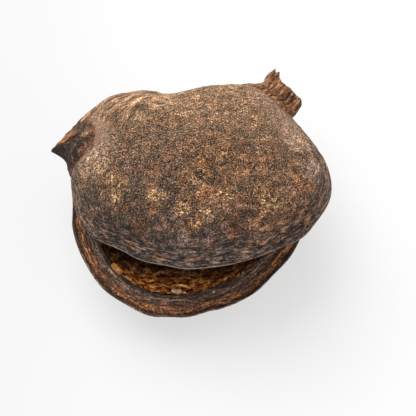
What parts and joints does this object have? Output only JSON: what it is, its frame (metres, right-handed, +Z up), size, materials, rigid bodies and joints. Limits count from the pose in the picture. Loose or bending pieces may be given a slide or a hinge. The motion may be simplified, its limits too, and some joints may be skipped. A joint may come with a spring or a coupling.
{
  "type": "dried sterculia pod",
  "caption": "Dry woody seed pod, split open along its front into a domed upper valve and a bowl-like lower valve, with a short beak and a torn stalk.",
  "frame": {"origin": "middle of the bounding box in plan, at the level of the flat spot that the pod rests on", "axes": "+Z up, out of the flat spot; -Y towards the open mouth; +X from the beak towards the stalk's side, along the pod's length"},
  "size_m": [0.0958, 0.0876, 0.0556],
  "materials": {
    "dry_husk": "dry, felted and matt outside, fibrous inside"
  },
  "bodies": {
    "root": {"pod_husk": "dry_husk"}
  },
  "joints": []
}
